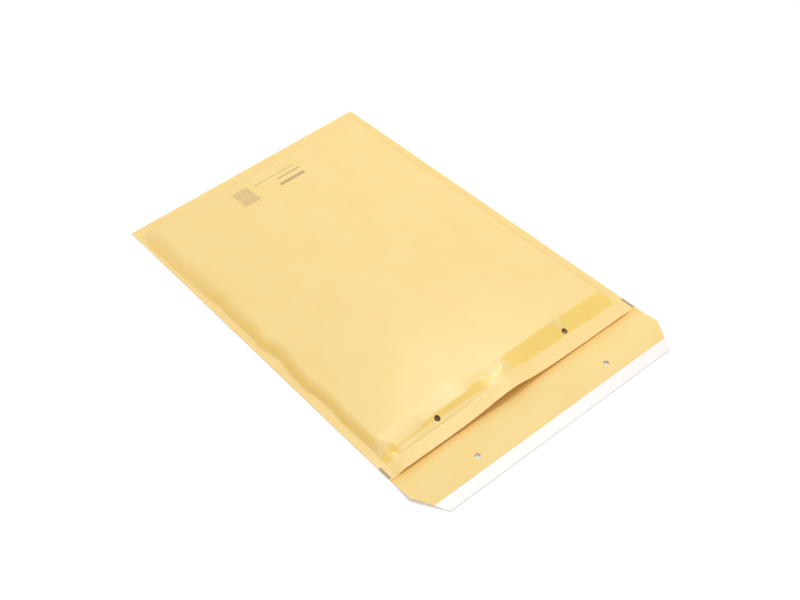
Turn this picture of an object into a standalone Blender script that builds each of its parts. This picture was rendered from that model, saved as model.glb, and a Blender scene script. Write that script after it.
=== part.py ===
"""A padded envelope: a kraft paper bag with a bubble film lining, lying on its back with the flap open.

Metres, +Z up. X runs along the mouth and +Y from the mouth to the closed end. The origin is on the table,
under the middle of the whole outline, flap included.

The bag, its hollow, the lining and the lining's pocket are nested crowned solids of one shape: each lies
one layer further in from the back panel and from the front panel. The lining is two webs of film, one for
each panel, which meet halfway between the panels at the seams.
"""

import math

import bmesh
import bpy

# Paper bag
BODY_WIDTH = 0.240
BODY_LENGTH = 0.350
PAPER = 0.00015
SIDE_SEAM = 0.006
END_SEAM = 0.010

# Swell of the padded front panel over its seams
SHOULDER_RISE = 0.0060
SHOULDER_RUN = 0.008
CROWN_RISE = 0.0065
CROWN_RUN = 0.090

# Lip of the front panel, which arches up in the middle of the mouth, and the ramp from it to the pad
LIP_BAND = 0.0115
LIP_RAMP = 0.018
LIP_RISE = 0.0016
MOUTH_RISE = 0.0046
MOUTH_SPREAD = 0.028

# Flap
FLAP_DEPTH = 0.046
FLAP_STRAIGHT = 0.021
FLAP_TAPER = 0.0136
FOLD_SETBACK = 0.004

# Punched holes for split pins
HOLE_DIAMETER = 0.0045
HOLE_SPACING = 0.125
LIP_HOLE_SETBACK = 0.017
HOLE_SIDES = 24

# Bubble film lining, crushed thin where it is welded to the ramp behind the lip. FILM_MARGIN is the
# film that is left between its edge and the punched holes
FIT = 0.0003
FILM = 0.0030
CRUSHED_FILM = 0.0004
FILM_MARGIN = 0.00175

# Peel and seal closure at the end of the flap
LINER_WIDTH = 0.0100
LINER = 0.0001
ADHESIVE_WIDTH = 0.0075
ADHESIVE_MARGIN = 0.0015
ADHESIVE = 0.0001

# Spacing of the mesh's points, the step that slopes are measured over, and how far a cutter overruns
FINE_STEP = 0.002
COARSE_STEP = 0.0135
SLOPE_STEP = 0.00002
OVERRUN = 0.001

FLAP_END_Y = -(BODY_LENGTH + FLAP_DEPTH) / 2
LIP_Y = FLAP_END_Y + FLAP_DEPTH
RAMP_Y = LIP_Y + LIP_BAND
PAD_Y = RAMP_Y + LIP_RAMP
FAR_Y = LIP_Y + BODY_LENGTH
SEAM_X = BODY_WIDTH / 2 - SIDE_SEAM
SEAM_Y = FAR_Y - END_SEAM
FILM_Y = LIP_Y + LIP_HOLE_SETBACK - HOLE_DIAMETER / 2 - FILM_MARGIN
FLAP_HOLE_SETBACK = LIP_HOLE_SETBACK + 2 * FOLD_SETBACK

# Stretches between the creases, each with its end and the spacing of points in it
X_STRETCHES = (
    (-SEAM_X, COARSE_STEP),
    (-SEAM_X + SHOULDER_RUN, FINE_STEP),
    (SEAM_X - SHOULDER_RUN, COARSE_STEP),
    (SEAM_X, FINE_STEP),
    (BODY_WIDTH / 2, COARSE_STEP),
)
Y_STRETCHES = (
    (LIP_Y, COARSE_STEP),
    (RAMP_Y, COARSE_STEP),
    (PAD_Y, COARSE_STEP),
    (SEAM_Y - SHOULDER_RUN, COARSE_STEP),
    (SEAM_Y, FINE_STEP),
    (FAR_Y, COARSE_STEP),
)


def quarter_sine(distance, run):
    """0 to 1 over run, steepest at its start and level at its end."""
    return math.sin(math.pi / 2 * min(distance / run, 1.0))


def pad_rise(x, y):
    """How far the padded part of the front panel stands over its seams."""
    side = SEAM_X - abs(x)
    end = SEAM_Y - y
    shoulder = quarter_sine(side, SHOULDER_RUN) * quarter_sine(end, SHOULDER_RUN)
    crown = quarter_sine(side, CROWN_RUN) * quarter_sine(end, CROWN_RUN)
    return SHOULDER_RISE * shoulder + CROWN_RISE * crown


def lip_rise(x):
    """How far the lip stands over the back panel: a low arch with the mouth's own arch on it."""
    arch = quarter_sine(SEAM_X - abs(x), SHOULDER_RUN)
    return arch * (LIP_RISE + MOUTH_RISE * math.exp(-((x / MOUTH_SPREAD) ** 2)))


def front_height(x, y):
    """Top of the front panel. Outside the seam lines it falls away, so that a cut ends on them."""
    outside = min(SEAM_X - abs(x), SEAM_Y - y)
    if outside <= 0:
        return 2 * PAPER + outside
    up_the_ramp = min(max((y - RAMP_Y) / LIP_RAMP, 0.0), 1.0)
    return 2 * PAPER + (1 - up_the_ramp) * lip_rise(x) + up_the_ramp * pad_rise(x, y)


def steepness(x, y):
    """How much thicker a layer under the front panel is straight down than square to the panel."""
    across = front_height(x + SLOPE_STEP, y) - front_height(x - SLOPE_STEP, y)
    along = front_height(x, y + SLOPE_STEP) - front_height(x, y - SLOPE_STEP)
    return math.hypot(2 * SLOPE_STEP, across, along) / (2 * SLOPE_STEP)


def stations(start, stop, stretches):
    """Stations from start to stop, with one at the end of each stretch that lies between."""
    found = [start]
    for end, step in stretches:
        begin = found[-1]
        length = min(end, stop) - begin
        if length > 0:
            count = math.ceil(length / step)
            found += [begin + length * (i + 1) / count for i in range(count)]
    return found


def object_from(name, bm):
    """An object in the scene from a bmesh, with its faces cut to flat triangles."""
    bmesh.ops.triangulate(bm, faces=bm.faces)
    bmesh.ops.recalc_face_normals(bm, faces=bm.faces)
    mesh = bpy.data.meshes.new(name)
    bm.to_mesh(mesh)
    bm.free()
    thing = bpy.data.objects.new(name, mesh)
    bpy.context.scene.collection.objects.link(thing)
    return thing


def surface(reach, start, stop, height):
    """A bmesh of the surface height(x, y), to reach on both sides and from start to stop."""
    bm = bmesh.new()
    xs = stations(-reach, reach, X_STRETCHES)
    ys = stations(start, stop, Y_STRETCHES)
    rows = [[bm.verts.new((x, y, height(x, y))) for x in xs] for y in ys]
    for near, far in zip(rows, rows[1:]):
        for i in range(len(xs) - 1):
            bm.faces.new((near[i], near[i + 1], far[i + 1], far[i]))
    return bm


def close_down_to(bm, floor):
    """Close a surface into a solid: walls down past the floor, then all under the floor cut off flat."""
    rim = [edge for edge in bm.edges if edge.is_boundary]
    walls = bmesh.ops.extrude_edge_only(bm, edges=rim)["geom"]
    lowest = min(floor, min(vert.co.z for vert in bm.verts)) - OVERRUN
    for part in walls:
        if isinstance(part, bmesh.types.BMVert):
            part.co.z = lowest
    bmesh.ops.bisect_plane(
        bm,
        geom=bm.verts[:] + bm.edges[:] + bm.faces[:],
        dist=1e-7,
        plane_co=(0, 0, floor),
        plane_no=(0, 0, -1),
        clear_outer=True,
    )
    base = [edge for edge in bm.edges if edge.is_boundary]
    bmesh.ops.edgeloop_fill(bm, edges=base)


def sealed_bag():
    """The outside of the sealed bag, seams and all."""
    bm = surface(
        BODY_WIDTH / 2,
        LIP_Y,
        FAR_Y,
        lambda x, y: max(front_height(x, y), 2 * PAPER),
    )
    close_down_to(bm, 0.0)
    return object_from("outer_paper", bm)


def inner_solid(name, layer, start, stop=SEAM_Y + OVERRUN):
    """The space between the panels, one layer in from both, from start to stop or to the seams."""
    bm = surface(
        SEAM_X + OVERRUN,
        start,
        stop,
        lambda x, y: front_height(x, y) - layer * steepness(x, y),
    )
    close_down_to(bm, layer)
    return object_from(name, bm)


def lower_half(name, offset):
    """All that lies under the surface halfway between the panels, with the surface moved up by offset."""
    bm = surface(
        SEAM_X + OVERRUN,
        FILM_Y - OVERRUN,
        SEAM_Y + OVERRUN,
        lambda x, y: front_height(x, y) / 2 + offset,
    )
    close_down_to(bm, -OVERRUN)
    return object_from(name, bm)


def flap_half_width(setback):
    """Half the flap's width at a distance beyond the lip."""
    tapered = max(0.0, setback - FLAP_STRAIGHT) / (FLAP_DEPTH - FLAP_STRAIGHT)
    return BODY_WIDTH / 2 - FLAP_TAPER * tapered


def flap_sheet(name, near, far, margin, bottom, thickness):
    """A flat sheet in the flap's outline, between two distances beyond the lip."""
    setbacks = [near, far]
    if near < FLAP_STRAIGHT < far:
        setbacks.insert(1, FLAP_STRAIGHT)
    right = [(flap_half_width(s) - margin, LIP_Y - s) for s in setbacks]
    left = [(-x, y) for x, y in reversed(right)]
    bm = bmesh.new()
    sheet = bm.faces.new([bm.verts.new((x, y, bottom)) for x, y in right + left])
    lifted = bmesh.ops.extrude_face_region(bm, geom=[sheet])["geom"]
    corners = [part for part in lifted if isinstance(part, bmesh.types.BMVert)]
    bmesh.ops.translate(bm, verts=corners, vec=(0, 0, thickness))
    return object_from(name, bm)


def punch(x, y, bottom, top):
    """A round cutter for one hole."""
    bpy.ops.mesh.primitive_cylinder_add(
        vertices=HOLE_SIDES,
        radius=HOLE_DIAMETER / 2,
        depth=top - bottom,
        location=(x, y, (top + bottom) / 2),
    )
    return bpy.context.object


def lip_punches():
    """The two cutters through the front panel, from halfway between the panels up."""
    y = LIP_Y + LIP_HOLE_SETBACK
    top = 2 * PAPER + SHOULDER_RISE + CROWN_RISE
    sides = (-HOLE_SPACING / 2, HOLE_SPACING / 2)
    return [punch(x, y, front_height(x, y) / 2, top) for x in sides]


def flap_punches():
    """The two cutters through the flap, where its holes meet the lip's once it is folded over."""
    y = LIP_Y - FLAP_HOLE_SETBACK
    sides = (-HOLE_SPACING / 2, HOLE_SPACING / 2)
    return [punch(x, y, -OVERRUN, PAPER + OVERRUN) for x in sides]


def boolean(thing, operation, *tools):
    """Join helper solids to an object, or cut them out of it, and hide the helpers."""
    for tool in tools:
        modifier = thing.modifiers.new(tool.name, "BOOLEAN")
        modifier.operation = operation
        modifier.object = tool
        tool.hide_render = True
        tool.display_type = "WIRE"


def finish(thing, colour, roughness):
    """Give an object its own material."""
    material = bpy.data.materials.new(thing.name)
    material.use_nodes = True
    shader = material.node_tree.nodes["Principled BSDF"]
    shader.inputs["Base Color"].default_value = (*colour, 1.0)
    shader.inputs["Roughness"].default_value = roughness
    shader.inputs["Metallic"].default_value = 0.0
    thing.data.materials.append(material)


def make_outer_paper(punches):
    """One kraft sheet: the back panel and flap, and the front panel folded over and sealed at its sides."""
    paper = sealed_bag()
    flap = flap_sheet("flap", -LIP_BAND, FLAP_DEPTH, 0.0, 0.0, PAPER)
    hollow = inner_solid("bag_hollow", PAPER, LIP_Y - OVERRUN)
    boolean(paper, "UNION", flap)
    boolean(paper, "DIFFERENCE", hollow, *punches, *flap_punches())
    finish(paper, (0.88, 0.64, 0.28), 0.6)


def make_bubble_lining(punches):
    """A web of bubble film on each panel: the space along both, parted halfway between them."""
    outside = PAPER + FIT
    welded_mouth = inner_solid(
        "welded_mouth", outside + CRUSHED_FILM, FILM_Y - OVERRUN, PAD_Y
    )
    pocket = inner_solid("lining_pocket", outside + FILM, PAD_Y - OVERRUN)
    back = inner_solid("back_lining", outside, FILM_Y)
    boolean(back, "DIFFERENCE", welded_mouth, pocket)
    boolean(back, "INTERSECT", lower_half("under_parting", -FIT / 2))
    front = inner_solid("front_lining", outside, FILM_Y)
    above = lower_half("over_parting", FIT / 2)
    boolean(front, "DIFFERENCE", welded_mouth, pocket, above, *punches)
    for lining in (back, front):
        finish(lining, (0.86, 0.88, 0.88), 0.2)


def make_closure():
    """The adhesive strip at the flap's end and the white release liner that covers it."""
    adhesive_end = FLAP_DEPTH - ADHESIVE_MARGIN
    adhesive_bottom = PAPER + FIT
    adhesive = flap_sheet(
        "adhesive_strip",
        adhesive_end - ADHESIVE_WIDTH,
        adhesive_end,
        ADHESIVE_MARGIN,
        adhesive_bottom,
        ADHESIVE,
    )
    finish(adhesive, (0.90, 0.86, 0.70), 0.3)
    liner = flap_sheet(
        "release_liner",
        FLAP_DEPTH - LINER_WIDTH,
        FLAP_DEPTH,
        0.0,
        adhesive_bottom + ADHESIVE + FIT,
        LINER,
    )
    finish(liner, (0.95, 0.94, 0.90), 0.45)


def main():
    for thing in list(bpy.data.objects):
        bpy.data.objects.remove(thing)
    punches = lip_punches()
    make_outer_paper(punches)
    make_bubble_lining(punches)
    make_closure()


main()
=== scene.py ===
# %% [markdown]
# A padded envelope, lying open on a pale table
#
# The real object is one sheet of kraft paper, folded and sealed into a bag, with bubble film inside.
# The front panel swells over the film, the lip of the mouth arches up a little, and the flap lies open
# with a white paper strip over its glue. This lesson builds each of those as its own mesh.

# %% Load the frame and note the box that the looks have to stay in
import math

import bpy
import numpy as np
from mathutils import Matrix, Vector


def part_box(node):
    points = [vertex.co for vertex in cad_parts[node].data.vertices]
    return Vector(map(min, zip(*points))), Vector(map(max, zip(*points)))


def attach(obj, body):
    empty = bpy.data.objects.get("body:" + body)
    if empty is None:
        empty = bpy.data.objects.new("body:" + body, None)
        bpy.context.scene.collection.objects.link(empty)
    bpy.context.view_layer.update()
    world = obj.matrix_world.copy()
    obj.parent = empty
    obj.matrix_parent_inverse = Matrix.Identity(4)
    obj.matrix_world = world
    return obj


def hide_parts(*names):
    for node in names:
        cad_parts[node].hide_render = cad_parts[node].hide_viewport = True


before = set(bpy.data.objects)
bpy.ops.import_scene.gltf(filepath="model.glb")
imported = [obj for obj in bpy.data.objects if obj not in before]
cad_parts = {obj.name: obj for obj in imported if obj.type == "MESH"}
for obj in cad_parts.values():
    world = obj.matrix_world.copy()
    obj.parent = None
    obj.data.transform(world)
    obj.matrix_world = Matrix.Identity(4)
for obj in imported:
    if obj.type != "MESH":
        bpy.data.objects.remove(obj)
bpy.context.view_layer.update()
bag_low, bag_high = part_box("outer_paper")
liner_low, liner_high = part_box("release_liner")
glue_low, glue_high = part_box("adhesive_strip")
print("bag", [round(1000 * (high - low), 1) for low, high in zip(bag_low, bag_high)], "mm")

# %% [markdown]
# The camera
#
# The photograph was matched with a pinhole camera through the corners of the bag, the corners of its
# flap and the four punched holes. The result is an aim point on the table, a distance, two angles, a
# slight roll and a focal length in pixels. The lens follows from that length and from the 36 mm sensor.
# The picture was cropped, so the camera is shifted a little to the side instead of being turned.

# %% Camera from the matched angles
PICTURE_WIDTH = 800
SENSOR_WIDTH = 36.0
FOCAL_PIXELS = 1228.55
AZIMUTH, ELEVATION, ROLL = (math.radians(angle) for angle in (-30.56, 44.81, -9.30))
AIM = Vector((-0.04989, 0.02104, 0.0))
DISTANCE = 0.97273
SIDEWAYS_SHIFT = 0.1

flat_share = math.cos(ELEVATION)
looking = Vector((-math.sin(AZIMUTH) * flat_share, math.cos(AZIMUTH) * flat_share, -math.sin(ELEVATION)))
level = Vector((math.cos(AZIMUTH), math.sin(AZIMUTH), 0.0))
upright = level.cross(looking)
right = math.cos(ROLL) * level + math.sin(ROLL) * upright
above = math.cos(ROLL) * upright - math.sin(ROLL) * level
turned = Matrix((right, above, -looking)).transposed()

camera_data = bpy.data.cameras.new("camera")
camera_data.sensor_width = SENSOR_WIDTH
camera_data.lens = FOCAL_PIXELS / PICTURE_WIDTH * SENSOR_WIDTH
camera_data.shift_x = SIDEWAYS_SHIFT
camera_data.clip_start = 0.01
camera = bpy.data.objects.new("camera", camera_data)
camera.matrix_world = Matrix.Translation(AIM - DISTANCE * looking) @ turned.to_4x4()
scene = bpy.context.scene
scene.collection.objects.link(camera)
scene.camera = camera
print("lens", round(camera_data.lens, 2), "mm")

# %% [markdown]
# Node graphs written as sums
#
# A material is a graph of nodes, and a graph is hard to read as a list of links. The small class below
# wraps one output, so that ordinary Python arithmetic adds the Math nodes. Colours go through Mix nodes.

# %% A socket that Python arithmetic works on
class Amount:
    """One number of a node graph, with operators that add Math nodes."""

    def __init__(self, graph, socket):
        self.graph = graph
        self.socket = socket

    def math(self, operation, *others):
        return self.graph.math(operation, self, *others)

    def __add__(self, other):
        return self.math("ADD", other)

    __radd__ = __add__

    def __mul__(self, other):
        return self.math("MULTIPLY", other)

    __rmul__ = __mul__

    def __sub__(self, other):
        return self.math("SUBTRACT", other)

    def __rsub__(self, other):
        return self.graph.math("SUBTRACT", other, self)

    def __truediv__(self, other):
        return self.math("DIVIDE", other)

    def __rtruediv__(self, other):
        return self.graph.math("DIVIDE", other, self)

    def __gt__(self, other):
        return self.math("GREATER_THAN", other)

    def __lt__(self, other):
        return self.math("LESS_THAN", other)

    def fade(self, start, end):
        """Rises softly from 0 at start to 1 at end, or falls where end is the smaller."""
        settings = {"interpolation_type": "SMOOTHSTEP"}
        if start < end:
            ends = {"From Min": start, "From Max": end, "To Min": 0.0, "To Max": 1.0}
        else:
            ends = {"From Min": end, "From Max": start, "To Min": 1.0, "To Max": 0.0}
        return self.graph.node("ShaderNodeMapRange", settings, Value=self, **ends)


class Graph:
    """Adds nodes to one node tree."""

    def __init__(self, tree):
        self.tree = tree
        self.count = 0

    def node(self, kind, settings=None, output=0, **values):
        """Adds a node, sets it up, fills its sockets by name, and returns one of its outputs."""
        node = self.tree.nodes.new(kind)
        self.count += 1
        node.location = (180 * (self.count % 12), -160 * (self.count // 12))
        for name, value in (settings or {}).items():
            setattr(node, name, value)
        for name, value in values.items():
            self.fill(self.find(node, name), value)
        return Amount(self, node.outputs[output])

    def find(self, node, name):
        if name.startswith("_"):
            return node.inputs[int(name[1:])]
        wanted = name.replace("_", " ")
        return [s for s in node.inputs if s.name == wanted and s.enabled][0]

    def fill(self, socket, value):
        if isinstance(value, Amount):
            self.tree.links.new(value.socket, socket)
        else:
            socket.default_value = value

    def math(self, operation, *values):
        sockets = {f"_{place}": value for place, value in enumerate(values)}
        return self.node("ShaderNodeMath", {"operation": operation}, **sockets)

    def mix(self, share, first, second):
        """Blends two colours."""
        return self.node("ShaderNodeMix", {"data_type": "RGBA"}, 2, _0=share, _6=first, _7=second)

    def noise(self, place, scale, detail=2.0, roughness=0.5):
        values = {"Scale": scale, "Detail": detail, "Roughness": roughness}
        return self.node("ShaderNodeTexNoise", None, 0, Vector=place, **values)

    def stretched(self, place, scale):
        """A place with its axes scaled one by one."""
        return self.node("ShaderNodeMapping", None, 0, Vector=place, Scale=scale)

    def split(self, place):
        x = self.node("ShaderNodeSeparateXYZ", None, 0, Vector=place)
        parts = x.socket.node.outputs
        return [Amount(self, parts[axis]) for axis in range(3)]


def new_material(name):
    """A material with a Principled shader, and the graph to add to."""
    material = bpy.data.materials.new(name)
    material.use_nodes = True
    shader = material.node_tree.nodes["Principled BSDF"]
    return material, Graph(material.node_tree), shader


def feed(shader, graph, **links):
    for name, value in links.items():
        graph.fill(shader.inputs[name.replace("_", " ")], value)


print("shader sums ready")

# %% [markdown]
# The shape of the front panel, as a rule
#
# Paper over bubble film has no free form: it is flat in the sealed seams, rises in a steep shoulder to
# the thickness of the film, and then crowns gently to the middle. Near the mouth it comes down a ramp to
# the flat lip, which arches up where the mouth gapes. So the panel is a height over the table for each
# place, worked out in millimetres: x from the middle of the bag and s from the lip towards the closed end.

# %% Sizes of the bag, in millimetres
MM = 0.001
HALF_WIDTH = 1000 * bag_high[0]
LIP_Y = -0.152
BODY_LENGTH = 1000 * (bag_high[1] - LIP_Y)
PAPER = 0.15
SEAM_THICKNESS = 0.45
SEAM_X = HALF_WIDTH - 6.0
SEAM_S = BODY_LENGTH - 10.0
FLAP_DEPTH = 1000 * (LIP_Y - bag_low[1]) - 0.4
FLAP_STRAIGHT = 21.0
FLAP_TAPER = 13.6
HOLE_RADIUS = 2.25
HOLE_X = 62.5
LIP_HOLE_S = 17.0
FLAP_HOLE_S = -25.0
print("body", 2 * HALF_WIDTH, "x", round(BODY_LENGTH, 1), "flap", round(FLAP_DEPTH, 1))


# %% Two curves that the rule is made of
def quarter_sine(distance, run):
    """Rises steeply at first and levels out over the run."""
    return np.sin(np.pi / 2 * np.clip(distance / run, 0.0, 1.0))


def soft_step(value, start, end):
    share = np.clip((value - start) / (end - start), 0.0, 1.0)
    return share * share * (3 - 2 * share)


def bell(distance, width):
    return np.exp(-((distance / width) ** 2))


print("a quarter sine is", round(float(quarter_sine(1.0, 2.0)), 3), "high at half its run")


# %% The pad, the lip and the ramp between them
SHOULDER_RISE, SHOULDER_RUN = 6.0, 8.5
CROWN_RISE, CROWN_RUN = 5.9, 90.0
RAMP_END = 27.0
MOUTH_PEAK_X = -6.0

# Where the left shoulder wanders off its line: places along the seam, and how far it is pushed in there
SHIFT_S = (20, 62, 78, 98, 104, 130, 142, 150, 158, 166, 176, 198, 215, 223, 232, 247, 283, 340)
SHIFT_X = (1.2, 0.2, 1.6, 0.6, -1.4, 0.4, 2.3, 2.0, -0.8, -1.6, 0.2, -0.5, -0.9, 1.0, -1.2, -2.0, -3.0, -3.0)


def shoulder_share(x, s):
    """The steep rise at the seams. The left one wanders, where the film puckered as it was sealed."""
    from_left = SEAM_X + x - np.interp(s, SHIFT_S, SHIFT_X)
    from_right = SEAM_X - x + 0.5 * np.sin(s / 23.0)
    end = SEAM_S - s + 0.6 * np.sin(x / 9.0) * np.sin(x / 31.0)
    left_run = np.interp(s, (30, 100, 200, 280), (7.0, 8.5, 11.0, 15.0))
    return quarter_sine(from_left, left_run) * quarter_sine(from_right, SHOULDER_RUN) * quarter_sine(end, 11.0)


def pad_rise(x, s):
    """Height of the swollen panel over its seams."""
    side = SEAM_X - np.abs(x)
    end = SEAM_S - s
    shoulder = shoulder_share(x, s)
    filling = 0.32 + 0.68 * quarter_sine(s - RAMP_END, 80.0)
    crown = quarter_sine(side, CROWN_RUN) * quarter_sine(end, CROWN_RUN) * filling
    return SHOULDER_RISE * shoulder + CROWN_RISE * crown


def lip_rise(x):
    """Height of the lip: a low arch from corner to corner, and a hump where the mouth gapes."""
    arch = quarter_sine(SEAM_X - np.abs(x), 10.0)
    low_arch = 1.7 - 0.8 * soft_step(x, 20.0, 70.0)
    hump = 4.5 * bell(x - MOUTH_PEAK_X, np.where(x < MOUTH_PEAK_X, 29.0, 20.0))
    return arch * (low_arch + hump)


print("pad", round(float(pad_rise(0.0, 200.0)), 2), "lip", round(float(lip_rise(-6.0)), 2), "mm")

# %% [markdown]
# The ramp behind the lip
#
# Here the film is welded to the paper. On the right the weld is clean: a flat facet with a sharp upper
# edge, broken by one notch at the punched hole. On the left the paper slipped and dried in a groove
# between two soft rolls. Both are written as the share of the way up from the lip to the pad. The
# edges of the groove are a few measured points, joined by straight lines.

# %% Ramp profiles on the clean side and on the wrinkled side
GROOVE_X = (-112.0, -94.0, -77.0, -72.0, -60.0, -32.0, -24.0, -19.0, -13.0, -10.0, 0.0, 6.0)
GROOVE_FRONT = (15.5, 16.8, 16.8, 16.8, 16.3, 15.6, 13.4, 13.2, 14.0, 16.6, 17.0, 17.5)
GROOVE_BACK = (17.0, 18.0, 18.3, 20.0, 20.4, 20.2, 22.6, 21.5, 21.3, 19.2, 19.0, 18.5)


def wrinkled_ramp(x, s):
    """A small step, a first roll up to the groove, the steep groove, and a second roll up to the pad."""
    front = np.interp(x, GROOVE_X, GROOVE_FRONT)
    back = np.interp(x, GROOVE_X, GROOVE_BACK)
    step = 0.10 * soft_step(s, 11.7, 12.9)
    first_roll = 0.048 * (np.clip(s, 12.3, front) - 12.3)
    groove = 0.105 * (np.clip(s, front, back) - front)
    rest = 0.90 - 0.048 * (front - 12.3) - 0.105 * (back - front)
    return step + first_roll + groove + rest * quarter_sine(s - back, 35.0 - back)


def clean_ramp(x, s):
    """One straight slope between two creases, on the right."""
    start = 14.2 - 1.3 * soft_step(x, 60.0, 110.0)
    return np.clip((s - start) / (RAMP_END - start), 0.0, 1.0)


def front_height(x, s):
    """Height of the front panel's outer face over the table."""
    wrinkled = 1.0 - soft_step(x, 0.0, 6.5)
    share = wrinkled * wrinkled_ramp(x, s) + (1.0 - wrinkled) * clean_ramp(x, s)
    return SEAM_THICKNESS + (1 - share) * lip_rise(x) + share * pad_rise(x, s) + creases(x, s)


print("share of the ramp at the right-hand hole", round(float(clean_ramp(HOLE_X, LIP_HOLE_S)), 2))


# %% Creases, each one a stroke along a few points
def nearest_on_line(x, s, start, end):
    """How far along a straight line the nearest point lies, from 0 to 1, and how far away it is."""
    run_x = end[0] - start[0]
    run_s = end[1] - start[1]
    reached = ((x - start[0]) * run_x + (s - start[1]) * run_s) / (run_x**2 + run_s**2)
    share = np.clip(reached, 0.0, 1.0)
    return share, np.hypot(x - start[0] - share * run_x, s - start[1] - share * run_s)


def stroke(x, s, start, end, width, height):
    """A ridge, or a groove where height is below 0, that tapers at both ends."""
    share, away = nearest_on_line(x, s, start, end)
    taper = np.sqrt(np.clip(4 * share * (1 - share), 0.0, 1.0))
    return height * taper * bell(away, width)


# Each crease: its start, its end, its width and its height
STROKES = (
    ((-111.5, 20.5), (-105.5, 26.5), 1.3, -0.9),
    ((-107.0, 16.0), (-101.0, 17.5), 4.5, -1.0),
    ((18.0, 20.5), (22.0, 15.5), 1.1, 0.45),
    ((3.0, 16.0), (3.5, 27.0), 3.2, 0.7),
    ((58.0, 30.0), (62.5, 20.0), 2.6, 0.6),
)


def creases(x, s):
    """Every crease, the pressed line along the left seam, and the pad's broad soft waves."""
    seam_line = SEAM_X + x - np.interp(s, SHIFT_S, SHIFT_X)
    total = -0.35 * bell(seam_line - 0.6, 0.9) * soft_step(s, 24.0, 60.0) * soft_step(SEAM_S - s, 0.0, 30.0)
    for start, end, width, height in STROKES:
        total = total + stroke(x, s, start, end, width, height)
    waves = np.sin(x / 17.0 + s / 41.0) * np.sin(s / 29.0 - x / 53.0)
    waves = waves + 0.7 * np.sin(s / 13.0 + x / 31.0) * np.sin(x / 23.0)
    inside = quarter_sine(SEAM_X - np.abs(x), 30.0) * quarter_sine(SEAM_S - s, 30.0) * soft_step(s, 24.0, 60.0)
    return total + 0.12 * waves * inside


print("height at the notch", round(float(front_height(np.array(60.0), np.array(27.0))), 2), "mm")

# %% [markdown]
# One closed sheet
#
# The paper is made as its outer face only, and a Solidify modifier gives it its 0.15 mm inwards, which
# also closes the rim of the mouth and of the flap. The front panel needs cells of about a millimetre
# where it wrinkles. The back panel is flat, so it takes every fifth row, and many-sided faces join the two.


# %% Stations of the grid
def stations(*stretches):
    """Joins stretches of (start, end, cells) into one list of stations."""
    found = [stretches[0][0]]
    for start, end, cells in stretches:
        found += [start + (end - start) * step / cells for step in range(1, cells + 1)]
    return np.array(found)


across = stations(
    (-HALF_WIDTH, -SEAM_X, 4),
    (-SEAM_X, -100.0, 14),
    (-100.0, 100.0, 126),
    (100.0, SEAM_X, 14),
    (SEAM_X, HALF_WIDTH, 4),
)
along = stations(
    (0.0, 12.0, 14),
    (12.0, 36.0, 32),
    (36.0, 60.0, 16),
    (60.0, 320.0, 104),
    (320.0, SEAM_S, 16),
    (SEAM_S, BODY_LENGTH, 8),
)
flap_along = stations((0.0, -FLAP_STRAIGHT, 12), (-FLAP_STRAIGHT, -FLAP_DEPTH, 14))
BACK_STEP = 5
print(len(across), "x", len(along), "front stations,", len(flap_along), "flap stations")


# %% A bag of points and faces to collect the sheet in
class Sheet:
    """Points in millimetres and faces, collected before they become one mesh."""

    def __init__(self):
        self.points = []
        self.faces = []

    def add_points(self, points):
        first = len(self.points)
        self.points += [tuple(map(float, point)) for point in points]
        return list(range(first, len(self.points)))

    def add_grid(self, rows, facing_up=True, skip=()):
        """Faces between rows of point numbers, without the cells in skip."""
        for r, (row, following) in enumerate(zip(rows, rows[1:])):
            for c in range(len(row) - 1):
                if (r, c) not in skip:
                    corners = [row[c], row[c + 1], following[c + 1], following[c]]
                    self.faces.append(corners if facing_up else corners[::-1])

    def make(self, name):
        mesh = bpy.data.meshes.new(name)
        place = [(x * MM, LIP_Y + s * MM, z * MM) for x, s, z in self.points]
        mesh.from_pydata(place, [], self.faces)
        mesh.validate()
        made = bpy.data.objects.new(name, mesh)
        scene.collection.objects.link(made)
        return made


def row_points(x, s, height):
    """The points of one row of a grid, which lies across the bag at s."""
    places = np.full(len(x), s)
    return np.column_stack([x, places, height(x, places)])


def hole_patch(columns, rows, centre, reach):
    """Cells of a grid whose middle lies within reach of a hole's centre."""
    mid_c = (columns[:-1] + columns[1:]) / 2
    mid_r = (rows[:-1] + rows[1:]) / 2
    near = np.hypot(mid_c[None, :] - centre[0], mid_r[:, None] - centre[1]) < reach
    return {(int(r), int(c)) for r, c in np.argwhere(near)}


# %% Punched holes, as rings between a round edge and the cells around it
def patch_edge(patch, rows):
    """The point numbers round a patch of cells, in order."""
    following = {}
    for r, c in patch:
        corners = [(r, c), (r, c + 1), (r + 1, c + 1), (r + 1, c)]
        for a, b in zip(corners, corners[1:] + corners[:1]):
            following[a] = following.get(a, []) + [b]
    edges = {(a, b) for a, ends in following.items() for b in ends}
    outline = {a: b for a, b in edges if (b, a) not in edges}
    start = next(iter(sorted(outline)))
    walk = [start]
    while outline[walk[-1]] != start:
        walk.append(outline[walk[-1]])
    return [rows[r][c] for r, c in walk]


def punch(sheet, rows, patch, centre, height, radius, rings=3):
    """Fills a patch of missing cells up to a round hole. height gives the surface at x and s."""
    ring = patch_edge(patch, rows)
    angles = [math.atan2(sheet.points[p][1] - centre[1], sheet.points[p][0] - centre[0]) for p in ring]
    outer = [math.hypot(sheet.points[p][0] - centre[0], sheet.points[p][1] - centre[1]) for p in ring]
    for step in range(1, rings + 1):
        share = step / rings
        placed = []
        for angle, reach in zip(angles, outer):
            distance = reach + (radius - reach) * share
            x = centre[0] + distance * math.cos(angle)
            s = centre[1] + distance * math.sin(angle)
            placed.append((x, s, float(height(np.array(x), np.array(s)))))
        inner = sheet.add_points(placed)
        for i in range(len(ring)):
            j = (i + 1) % len(ring)
            sheet.faces.append([ring[i], ring[j], inner[j], inner[i]])
        ring = inner
    return ring


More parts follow.
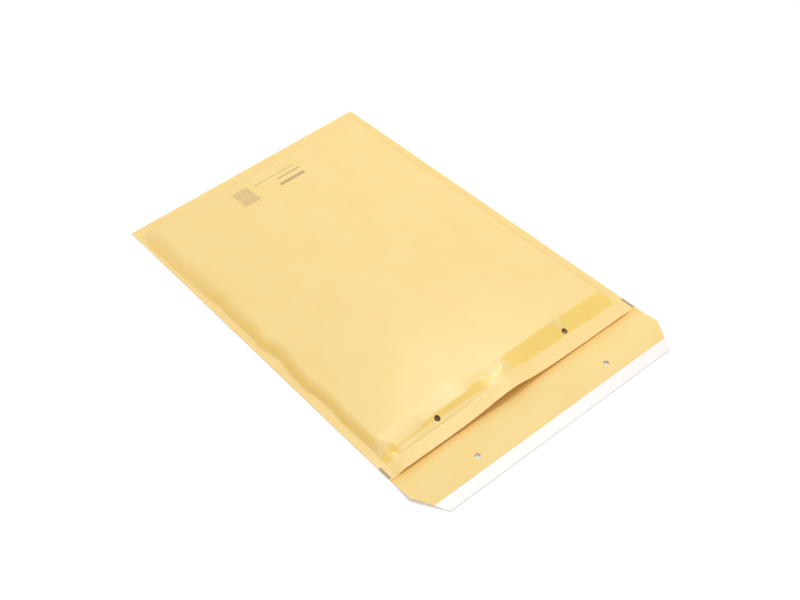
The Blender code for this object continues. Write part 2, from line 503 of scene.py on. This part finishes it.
# %% The outer face of the bag
def back_height(x, s):
    """The back panel lies on the table, with hollows of a fifth of a millimetre."""
    inside = quarter_sine(SEAM_X - np.abs(x), 20.0) * quarter_sine(SEAM_S - s, 20.0) * soft_step(s, 5.0, 30.0)
    return 0.12 * inside * (1 + np.sin(x / 13.0 + s / 37.0) * np.sin(s / 19.0))


def flap_half_width(s):
    return HALF_WIDTH - FLAP_TAPER * np.maximum(0.0, -s - FLAP_STRAIGHT) / (FLAP_DEPTH - FLAP_STRAIGHT)


def flap_height(x, s):
    """The flap bows a little off the table between its fold and its end, and has a faint wave."""
    bow = np.sin(np.pi * np.clip(-s / FLAP_DEPTH, 0.0, 1.0)) ** 2
    return bow * (1.7 + 0.25 * np.sin(x / 21.0))


bag = Sheet()
front_rows = [bag.add_points(row_points(across, s, front_height)) for s in along]
back_rows = [bag.add_points(row_points(across, s, back_height)) for s in along[::BACK_STEP]]
flap_rows = [back_rows[0]]
for s in flap_along[1:]:
    x = across * flap_half_width(s) / HALF_WIDTH
    flap_rows.append(bag.add_points(row_points(x, s, flap_height)))

LIP_PATCH, FLAP_PATCH = 3.6, 3.9
flap_column = HOLE_X * HALF_WIDTH / flap_half_width(FLAP_HOLE_S)
lip_patches = []
flap_patches = []
for side in (-1, 1):
    lip_patches.append(hole_patch(across, along, (side * HOLE_X, LIP_HOLE_S), LIP_PATCH))
    flap_patches.append(hole_patch(across, -flap_along, (side * flap_column, -FLAP_HOLE_S), FLAP_PATCH))
bag.add_grid(front_rows, True, set().union(*lip_patches))
bag.add_grid(back_rows, False)
bag.add_grid(flap_rows, True, set().union(*flap_patches))
print(len(bag.points), "points,", len(bag.faces), "faces")

# %% Walls of the seams and of the closed end
for column, outward in ((0, False), (len(across) - 1, True)):
    for k in range(len(back_rows) - 1):
        top = [front_rows[k * BACK_STEP + i][column] for i in range(BACK_STEP + 1)]
        bottom = [back_rows[k][column], back_rows[k + 1][column]]
        corners = [bottom[0], bottom[1]] + top[::-1]
        bag.faces.append(corners if outward else corners[::-1])
for c in range(len(across) - 1):
    bag.faces.append([back_rows[-1][c + 1], back_rows[-1][c], front_rows[-1][c], front_rows[-1][c + 1]])
print(len(bag.faces), "faces with the walls")

# %% The four holes, and a helper that applies a piece's modifiers
for side, patch in zip((-1, 1), lip_patches):
    punch(bag, front_rows, patch, (side * HOLE_X, LIP_HOLE_S), front_height, HOLE_RADIUS)
for side, patch in zip((-1, 1), flap_patches):
    punch(bag, flap_rows, patch, (side * HOLE_X, FLAP_HOLE_S), flap_height, HOLE_RADIUS)
kraft_bag = bag.make("kraft_bag")
print("kraft bag", len(kraft_bag.data.polygons), "faces")


def finish_mesh(piece, angle=35.0):
    """Replaces a piece's mesh by the result of its modifiers, smooth but for its sharp edges."""
    bpy.context.view_layer.update()
    evaluated = piece.evaluated_get(bpy.context.evaluated_depsgraph_get())
    made = bpy.data.meshes.new_from_object(evaluated)
    piece.modifiers.clear()
    piece.data = made
    made.shade_smooth()
    made.set_sharp_from_angle(angle=math.radians(angle))
    return sum(len(face.vertices) - 2 for face in made.polygons)


# %% Which parts of the paper are welded to the film, and where shade is painted on it
def inside_outline(x, s, outline, softness=0.9):
    """1 inside a closed outline and 0 outside it, with a soft edge."""
    away = np.full(np.shape(x), np.inf)
    inside = np.zeros(np.shape(x), dtype=bool)
    for start, end in zip(outline, outline[1:] + outline[:1]):
        away = np.minimum(away, nearest_on_line(x, s, start, end)[1])
        if start[1] != end[1]:
            slope = (end[0] - start[0]) / (end[1] - start[1])
            inside ^= ((start[1] > s) != (end[1] > s)) & (x < slope * (s - start[1]) + start[0])
    return soft_step(np.where(inside, away, -away), -softness, softness)


GROOVE = [
    (-95, 17.2), (-77, 16.8), (-72, 16.8), (-60, 16.3), (-32, 15.6), (-24, 13.6),
    (-19, 13.4), (-13, 14.2), (-10, 16.8), (3, 14.5), (0, 17.8), (3, 21.5),
    (-1, 19.4), (-10, 19.2), (-13, 21.0), (-19, 21.3), (-24, 22.4), (-32, 20.0),
    (-60, 20.2), (-72, 19.8), (-77, 18.3), (-90, 18.0),
]
FACET_LEFT = [(8, 27.0), (8, 15.0), (24, 14.3), (62, 13.9), (62, 19.0), (58, 25.0), (56, 27.0)]
FACET_RIGHT = [
    (66, 27.0), (65, 22.0), (64, 17.0), (64, 13.9),
    (109, 12.9), (112, 16.0), (112, 22.0), (108, 27.0),
]
CORNER = [
    (-114, 22.0), (-113.5, 13.5), (-110, 11.5), (-101, 12.8), (-98.5, 15.0),
    (-98, 20.0), (-99.5, 22.0), (-103, 20.5), (-111, 18.5), (-112, 20.0),
]
points = np.array([vertex.co[:] for vertex in kraft_bag.data.vertices])
px = points[:, 0] / MM
ps = (points[:, 1] - LIP_Y) / MM
# Weld colour and painted shade: the welded facets, the groove and the left corner get a deeper colour. Part of
# it is the weld's own tint, and part is painted shade where these faces turn away from the light
welded = np.zeros(len(px))
for outline in (GROOVE, FACET_LEFT, FACET_RIGHT, CORNER):
    welded = np.maximum(welded, inside_outline(px, ps, outline))
# Painted shade: the steeper the front panel slopes behind the ramp, the deeper its colour
tilt = np.array([vertex.normal.z for vertex in kraft_bag.data.vertices])
taut = soft_step(-tilt, -0.97, -0.72) * (points[:, 2] > 0.0006) * soft_step(ps, 24.0, 34.0)
for name, values in (("welded", welded), ("taut", taut)):
    layer = kraft_bag.data.attributes.new(name, "FLOAT", "POINT")
    layer.data.foreach_set("value", values.astype(np.float32))
    print(name, "on", int((values > 0.5).sum()), "points")

# %% [markdown]
# Thickness
#
# Everything so far is the outer face alone. Solidify adds the inner face and the rims, and gives both
# the second material, so that the unglazed inner side of the paper can differ from the outer one.

# %% Thickness
wall = kraft_bag.modifiers.new("paper thickness", "SOLIDIFY")
wall.thickness = PAPER * MM
wall.offset = -1.0
wall.use_even_offset = True
wall.material_offset = 1
wall.material_offset_rim = 1
print("paper", PAPER, "mm thick")

# %% [markdown]
# Kraft paper
#
# The paper is bleached to a warm yellow and glazed on its outer side. Seen close, it has cloudy
# mottling, short fibres that lie along the run of the paper machine, and a fine tooth. Where it is
# welded to the film the colour is deeper and the surface smoother; that deeper colour is also painted
# shade on the groove and the corner, and the steep slopes get painted shade as well. The same recipe makes
# the inner side without print and glaze, with painted shade behind the lip, so it is one function that
# is used twice.

# %% The recipe for the paper
PALE = (0.98, 0.775, 0.330, 1.0)
DEEP = (0.97, 0.725, 0.265, 1.0)
# Deeper tint of the welded facets, also used as painted shade on the groove and the corner
WELD_AND_SHADE_TINT = (1.0, 0.735, 0.175, 1.0)
# Painted shade on the steep slopes of the front panel
SLOPE_SHADE_TINT = (1.0, 0.700, 0.180, 1.0)
# Painted shade inside the mouth, on the inner paper behind the lip
MOUTH_SHADE_TINT = (1.0, 0.60, 0.150, 1.0)
INK = (0.36, 0.25, 0.17, 1.0)


def kraft(name, pale, deep, roughness, printed):
    material, graph, shader = new_material(name)
    place = graph.node("ShaderNodeTexCoord", None, 3)
    clouds = graph.noise(place, 42.0, 4.0, 0.62)
    fibres = graph.noise(graph.stretched(place, (2400.0, 260.0, 2400.0)), 1.0, 3.0, 0.6)
    tooth = graph.noise(place, 3800.0, 2.0, 0.6)
    depth = clouds.fade(0.25, 0.8) * 0.6 + fibres.fade(0.35, 0.8) * 0.4
    colour = graph.mix(depth, pale, deep)
    shine = depth * 0.06 + roughness
    grain = tooth * 0.5 + fibres * 0.6 + clouds * 0.3
    if printed:
        x, y = graph.split(place)[:2]
        # Weld colour and painted shade: the deeper tint inside the welded outlines is partly the weld's own
        # colour and partly painted shade on the groove and the corner
        weld = graph.node("ShaderNodeAttribute", {"attribute_name": "welded"}, 2)
        taut = graph.node("ShaderNodeAttribute", {"attribute_name": "taut"}, 2)
        # Painted shade: steep slopes are deepened in colour
        colour = graph.mix(taut * 0.75, colour, SLOPE_SHADE_TINT)
        colour = graph.mix(weld * 0.85, colour, WELD_AND_SHADE_TINT)
        shine = shine - weld * 0.12
        colour = graph.mix(print_mask(graph, x, y), colour, INK)
    else:
        y = graph.split(place)[1]
        # Painted shade: the inner paper behind the lip is deeper orange, where the mouth lies in shadow
        mouth_shade = y.fade(LIP_Y - 9.0 * MM, LIP_Y + 1.0 * MM)
        colour = graph.mix(mouth_shade * 0.8, colour, MOUTH_SHADE_TINT)
    bump = graph.node("ShaderNodeBump", None, 0, Strength=0.25, Distance=0.00006, Height=grain)
    feed(shader, graph, Base_Color=colour, Roughness=shine, Normal=bump)
    through = graph.node("ShaderNodeBsdfTranslucent", None, 0, Color=(1.0, 0.76, 0.34, 1.0))
    front = Amount(graph, shader.outputs[0])
    both = graph.node("ShaderNodeMixShader", None, 0, _0=0.2, _1=front, _2=through)
    graph.fill(material.node_tree.nodes["Material Output"].inputs["Surface"], both)
    return material


# %% [markdown]
# Print
#
# Such bags carry dark eye marks at the mouth, which guide the sealing machine, and a small printed
# block. Flat shapes are enough for both: a rectangle is the product of four comparisons, and stripes
# come from two sine waves of different length. The bars and rules here are generic.

# %% Generic print: two eye marks at the lip and a plain block of bars and rules
def block(x, y, left, right, low, high):
    """1 inside a rectangle given in millimetres from the middle of the bag and from the lip."""
    across_it = (x > left * MM) * (x < right * MM)
    return across_it * (y > LIP_Y + low * MM) * (y < LIP_Y + high * MM)


def print_mask(graph, x, y):
    marks = block(x, y, -120.2, -117.9, 1.0, 13.0) + block(x, y, 117.9, 120.2, 1.0, 13.0)
    waves = (y * 2300.0).math("SINE") + (y * 5150.0 + 1.0).math("SINE") * 0.8
    bars = block(x, y, -34.0, -18.0, 297.0, 321.0) * (waves > -0.35)
    rules = block(x, y, 5.0, 31.0, 298.5, 302.5) + block(x, y, 8.0, 31.0, 308.5, 310.3)
    rules = rules + block(x, y, -12.0, 31.0, 316.0, 316.9)
    return marks * 0.82 + bars * 0.52 + rules * 0.68


kraft_out = kraft("kraft_outside", PALE, DEEP, 0.33, True)
kraft_in = kraft("kraft_inside", PALE, DEEP, 0.60, False)
kraft_bag.data.materials.append(kraft_out)
kraft_bag.data.materials.append(kraft_in)
print("kraft bag", finish_mesh(kraft_bag), "triangles")

# %% [markdown]
# Bubble film
#
# Each panel is lined with clear film that has air bubbles on its inner side, about ten millimetres wide
# in a honeycomb pattern. The film itself is a thin sheet that follows the paper. The bubbles repeat
# hundreds of times, so Geometry Nodes set them out: a grid of points is cast onto the film, and each
# point that hits it gets one bubble with a few dozen faces.


# %% The film sheets
FILM = 0.09
film_across = stations((-112.5, -100.0, 10), (-100.0, 100.0, 80), (100.0, 112.5, 10))
film_along = stations((13.0, 36.0, 24), (36.0, 320.0, 100), (320.0, 338.5, 14))


def under_front(x, s):
    return front_height(x, s) - PAPER - 0.08


def over_back(x, s):
    return back_height(x, s) + PAPER + 0.05


def film_sheet(name, height, facing_up, holes):
    """A thin sheet that follows one panel of the bag on its inner side."""
    sheet = Sheet()
    rows = [sheet.add_points(row_points(film_across, s, height)) for s in film_along]
    centres = [(side * HOLE_X, LIP_HOLE_S) for side in (-1, 1)] if holes else []
    patches = [hole_patch(film_across, film_along, centre, LIP_PATCH) for centre in centres]
    sheet.add_grid(rows, facing_up, set().union(*patches))
    for centre, patch in zip(centres, patches):
        punch(sheet, rows, patch, centre, height, HOLE_RADIUS)
    piece = sheet.make(name)
    wall = piece.modifiers.new("film thickness", "SOLIDIFY")
    wall.thickness = FILM * MM
    wall.offset = -1.0
    finish_mesh(piece)
    return piece


front_film = film_sheet("front_bubble_film", under_front, True, True)
back_film = film_sheet("back_bubble_film", over_back, False, False)
print("films", len(front_film.data.polygons), len(back_film.data.polygons))

# %% Clear film material
film_clear, graph, shader = new_material("bubble_film_clear")
place = graph.node("ShaderNodeTexCoord", None, 3)
crumple = graph.noise(place, 120.0, 3.0, 0.6)
scuffs = graph.noise(place, 900.0, 2.0, 0.7)
bump = graph.node("ShaderNodeBump", None, 0, Strength=0.3, Distance=0.0003, Height=crumple + scuffs * 0.2)
tint = graph.mix(crumple, (0.90, 0.92, 0.92, 1.0), (0.80, 0.84, 0.85, 1.0))
feed(shader, graph, Base_Color=tint, Roughness=scuffs * 0.12 + 0.1, Normal=bump)
feed(shader, graph, Alpha=crumple * 0.12 + 0.10)
print("film material", graph.count, "nodes")

# %% [markdown]
# The bubbles are set out by a Geometry Nodes tree. It reads its sizes from named inputs, so the same
# tree serves the front film, whose bubbles hang down, and the back film, whose bubbles stand up.


# %% The tree that sets the bubbles out
def bubble_tree():
    tree = bpy.data.node_groups.new("bubbles", "GeometryNodeTree")
    tree.interface.new_socket("Geometry", in_out="INPUT", socket_type="NodeSocketGeometry")
    for name, kind, value in (
        ("Width", "NodeSocketFloat", 0.2),
        ("Length", "NodeSocketFloat", 0.28),
        ("Middle Y", "NodeSocketFloat", 0.02),
        ("Pitch", "NodeSocketFloat", 0.0115),
        ("Diameter", "NodeSocketFloat", 0.01),
        ("Height", "NodeSocketFloat", 0.003),
        ("Facing", "NodeSocketFloat", 1.0),
        ("Seed", "NodeSocketInt", 7),
        ("Material", "NodeSocketMaterial", None),
    ):
        socket = tree.interface.new_socket(name, in_out="INPUT", socket_type=kind)
        if value is not None:
            socket.default_value = value
    tree.interface.new_socket("Geometry", in_out="OUTPUT", socket_type="NodeSocketGeometry")
    return tree


tree = bubble_tree()
graph = Graph(tree)
given = tree.nodes.new("NodeGroupInput")
sockets = [Amount(graph, socket) for socket in given.outputs if socket.name]
film_in, width, length, middle_y, pitch, diameter, rise, facing, seed, finish = sockets
row_pitch = pitch * (math.sqrt(3) / 2)
columns = (width / pitch).math("FLOOR") + 1
rows = (length / row_pitch).math("FLOOR") + 1
spread = {"Size_X": (columns - 1) * pitch, "Size_Y": (rows - 1) * row_pitch}
field = graph.node("GeometryNodeMeshGrid", None, 0, Vertices_X=columns, Vertices_Y=rows, **spread)
dots = graph.node("GeometryNodeMeshToPoints", None, 0, Mesh=field)
x, y = graph.split(graph.node("GeometryNodeInputPosition"))[:2]
row_number = (y / row_pitch + 500.25).math("FLOOR")
odd = row_number.math("MODULO", 2.0)
staggered = x + (odd - 0.5) * 0.5 * pitch
start = graph.node("ShaderNodeCombineXYZ", None, 0, X=staggered, Y=y + middle_y, Z=facing * 0.1)
dots = graph.node("GeometryNodeSetPosition", None, 0, Geometry=dots, Position=start)
away = graph.node("ShaderNodeCombineXYZ", None, 0, X=0.0, Y=0.0, Z=facing * -1.0)
ray = graph.node("GeometryNodeRaycast", None, 0, Target_Geometry=film_in, Ray_Direction=away, Ray_Length=0.3)
parts = {s.name: Amount(graph, s) for s in ray.socket.node.outputs}
missed = 1 - parts["Is Hit"]
dots = graph.node("GeometryNodeDeleteGeometry", {"domain": "POINT"}, 0, Geometry=dots, Selection=missed)
keep = {"data_type": "FLOAT_VECTOR", "domain": "POINT"}
values = {"Name": "facing", "Value": parts["Hit Normal"]}
dots = graph.node("GeometryNodeStoreNamedAttribute", keep, 0, Geometry=dots, **values)
dots = graph.node("GeometryNodeSetPosition", None, 0, Geometry=dots, Position=parts["Hit Position"])
print("bubble tree", len(tree.nodes), "nodes so far")

# %% One bubble: a cone whose rings are moved onto a rounded profile
shape = {"Vertices": 12, "Side_Segments": 3, "Radius_Top": 0.25, "Radius_Bottom": 1.0, "Depth": 1.0}
cone = graph.node("GeometryNodeMeshCone", {"fill_type": "NGON"}, 0, **shape)
x, y, z = graph.split(graph.node("GeometryNodeInputPosition"))
level_share = z.math("MINIMUM", 1.0)
wanted = (1 - level_share * level_share * level_share * 0.62).math("SQRT")
had = 1 - level_share * 0.75
ring = {"X": x * wanted / had * diameter * 0.5, "Y": y * wanted / had * diameter * 0.5}
domed = (level_share * 1.5708).math("SINE") * rise
rounded = graph.node("ShaderNodeCombineXYZ", None, 0, Z=domed, **ring)
bubble = graph.node("GeometryNodeSetPosition", None, 0, Geometry=cone, Position=rounded)
bubble = graph.node("GeometryNodeSetShadeSmooth", None, 0, Geometry=bubble)
size = graph.node("FunctionNodeRandomValue", {"data_type": "FLOAT"}, 1, Min=0.93, Max=1.0, Seed=seed)
stored = graph.node("GeometryNodeInputNamedAttribute", {"data_type": "FLOAT_VECTOR"}, 0, Name="facing")
lean = graph.node("FunctionNodeAlignRotationToVector", {"axis": "Z"}, 0, Vector=stored)
turned = {"Rotation": lean, "Scale": size}
placed = graph.node("GeometryNodeInstanceOnPoints", None, 0, Points=dots, Instance=bubble, **turned)
placed = graph.node("GeometryNodeRealizeInstances", None, 0, Geometry=placed)
both = tree.nodes.new("GeometryNodeJoinGeometry")
tree.links.new(placed.socket, both.inputs[0])
tree.links.new(film_in.socket, both.inputs[0])
joined = Amount(graph, both.outputs[0])
done = graph.node("GeometryNodeSetMaterial", None, 0, Geometry=joined, Material=finish)
result = tree.nodes.new("NodeGroupOutput")
tree.links.new(done.socket, result.inputs[0])
print("bubble tree", len(tree.nodes), "nodes in all")


# %% Bubbles on both films
def set_bubbles(film, **values):
    modifier = film.modifiers.new("bubbles", "NODES")
    modifier.node_group = tree
    inputs = [item for item in tree.interface.items_tree if item.in_out == "INPUT"]
    identifiers = {item.name: item.identifier for item in inputs}
    for name, value in values.items():
        modifier[identifiers[name.replace("_", " ")]] = value
    return finish_mesh(film, 40.0)


sizes = {"Width": 0.200, "Length": 0.285, "Middle_Y": 0.0215, "Material": film_clear}
print("front film", set_bubbles(front_film, Facing=-1.0, Seed=7, **sizes), "triangles")
print("back film", set_bubbles(back_film, Facing=1.0, Seed=11, **sizes), "triangles")

# %% [markdown]
# The closure
#
# A bead of glue runs along the end of the flap, under a strip of white silicone paper that is pulled
# off once. Both could be plain boxes, but the flap bows a little, and a box would cut through it. So
# each is a closed strip that takes its lower side from the same height rule as the flap itself.


# %% Glue and liner
def strip(name, low, high, height, thickness):
    """A thin strip that follows the flap, from s = low to s = high."""
    sheet = Sheet()
    top = []
    bottom = []
    for s in np.linspace(low, high, 7):
        x = across * (flap_half_width(s) - 0.05) / HALF_WIDTH
        base = flap_height(x, np.full(len(x), s)) + height
        top.append(sheet.add_points(np.column_stack([x, np.full(len(x), s), base + thickness])))
        bottom.append(sheet.add_points(np.column_stack([x, np.full(len(x), s), base])))
    sheet.add_grid(top, True)
    sheet.add_grid(bottom, False)
    left = ([row[0] for row in top], [row[0] for row in bottom])
    right = ([row[-1] for row in bottom], [row[-1] for row in top])
    rims = [left, right, (bottom[0], top[0]), (top[-1], bottom[-1])]
    for first, second in rims:
        for a, b, c, d in zip(first, first[1:], second[1:], second):
            sheet.faces.append([a, b, c, d])
    piece = sheet.make(name)
    finish_mesh(piece)
    return piece


def along_flap(y):
    return 1000 * (y - LIP_Y)


glue = strip("glue_strip", along_flap(glue_low[1]), along_flap(glue_high[1]), PAPER, 0.1)
liner = strip("liner_strip", along_flap(liner_low[1]), along_flap(liner_high[1]), PAPER + 0.1, 0.1)
print("strips", len(glue.data.polygons), "and", len(liner.data.polygons), "faces")

# %% Finishes of the glue and of the liner
GLUE_PALE, GLUE_DEEP = (0.92, 0.88, 0.70, 1.0), (0.85, 0.79, 0.58, 1.0)
LINER_PALE, LINER_DEEP = (0.84, 0.815, 0.785, 1.0), (0.82, 0.79, 0.755, 1.0)
glue_mat, graph, shader = new_material("glue")
place = graph.node("ShaderNodeTexCoord", None, 3)
ripple = graph.noise(place, 500.0, 2.0)
bump = graph.node("ShaderNodeBump", None, 0, Strength=0.4, Distance=0.0002, Height=ripple)
feed(shader, graph, Base_Color=graph.mix(ripple, GLUE_PALE, GLUE_DEEP), Normal=bump)
feed(shader, graph, Roughness=ripple * 0.1 + 0.18)
glue.data.materials.append(glue_mat)

liner_mat, graph, shader = new_material("liner_paper_white")
place = graph.node("ShaderNodeTexCoord", None, 3)
clouds = graph.noise(place, 90.0, 3.0)
tooth = graph.noise(place, 3000.0, 2.0)
bump = graph.node("ShaderNodeBump", None, 0, Strength=0.15, Distance=0.00005, Height=tooth + clouds)
feed(shader, graph, Base_Color=graph.mix(clouds, LINER_PALE, LINER_DEEP), Normal=bump)
feed(shader, graph, Roughness=clouds * 0.1 + 0.34)
liner.data.materials.append(liner_mat)
print("liner material", graph.count, "nodes")

# %% [markdown]
# Table and light
#
# The bag lies on a white ground that shows only its soft shadow. A brighter lamp would whiten the
# ground, but it would also bleach the paper. So the floor keeps a plain pale colour for the light that
# falls on it, and gives a little light of its own only to the camera and to reflections. That share
# grows with the distance from the bag, so that low views don't see a grey band far away.

# %% Floor
floor_mesh = bpy.data.meshes.new("floor")
HALF_FLOOR = 4.0
FLOOR_Z = -0.0002
sides = ((-1, -1), (1, -1), (1, 1), (-1, 1))
corners = [(x * HALF_FLOOR, y * HALF_FLOOR, FLOOR_Z) for x, y in sides]
floor_mesh.from_pydata(corners, [], [(0, 1, 2, 3)])
floor = bpy.data.objects.new("floor", floor_mesh)
scene.collection.objects.link(floor)
floor_mat = bpy.data.materials.new("table_top")
floor_mat.use_nodes = True
graph = Graph(floor_mat.node_tree)
floor_mat.node_tree.nodes.remove(floor_mat.node_tree.nodes["Principled BSDF"])
output = floor_mat.node_tree.nodes["Material Output"]
path = graph.node("ShaderNodeLightPath")
rays = {s.name: Amount(graph, s) for s in path.socket.node.outputs}
seen = (rays["Is Camera Ray"] + rays["Is Glossy Ray"] + rays["Is Transmission Ray"]).math("MINIMUM", 1.0)
paint = graph.node("ShaderNodeBsdfDiffuse", None, 0, Color=(0.80, 0.80, 0.80, 1.0))
x, y = graph.split(graph.node("ShaderNodeTexCoord", None, 3))[:2]
far = (x * x + y * y).math("SQRT").fade(0.3, 1.6)
shown = seen * (far * 0.30 + 0.16)
glow = graph.node("ShaderNodeEmission", None, 0, Color=(1.0, 1.0, 1.0, 1.0), Strength=shown)
total = graph.node("ShaderNodeAddShader", None, 0, _0=paint, _1=glow)
graph.fill(output.inputs["Surface"], total)
floor_mesh.materials.append(floor_mat)
print("floor", 2 * HALF_FLOOR, "m wide")

# %% World and lamps
scene.view_settings.view_transform = "Standard"
world = bpy.data.worlds.new("studio")
world.use_nodes = True
scene.world = world
graph = Graph(world.node_tree)
path = graph.node("ShaderNodeLightPath")
rays = {s.name: Amount(graph, s) for s in path.socket.node.outputs}
seen = (rays["Is Camera Ray"] + rays["Is Transmission Ray"]).math("MINIMUM", 1.0)
back = world.node_tree.nodes["Background"]
back.inputs["Color"].default_value = (1.0, 1.0, 1.0, 1.0)
graph.fill(back.inputs["Strength"], seen * 0.15 + 0.85)


def lamp(name, toward, distance, size, power):
    data = bpy.data.lights.new(name, "AREA")
    data.shape = "RECTANGLE"
    data.size, data.size_y = size
    data.energy = power
    made = bpy.data.objects.new(name, data)
    direction = Vector(toward).normalized()
    made.location = direction * distance
    made.rotation_mode = "QUATERNION"
    made.rotation_quaternion = direction.to_track_quat("Z", "Y")
    scene.collection.objects.link(made)
    return made


lamp("key", (0.36, 0.20, 0.91), 1.4, (0.45, 0.35), 6.5)

# %% What each piece stands for
for piece, node, slot in (
    (kraft_bag, "outer_paper", "kraft_paper"),
    (front_film, "front_lining", "bubble_film"),
    (back_film, "back_lining", "bubble_film"),
    (glue, "adhesive_strip", "adhesive"),
    (liner, "release_liner", "liner_paper"),
):
    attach(piece, "root")
    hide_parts(node)
    print(piece.name, sum(len(p.vertices) - 2 for p in piece.data.polygons), "triangles")
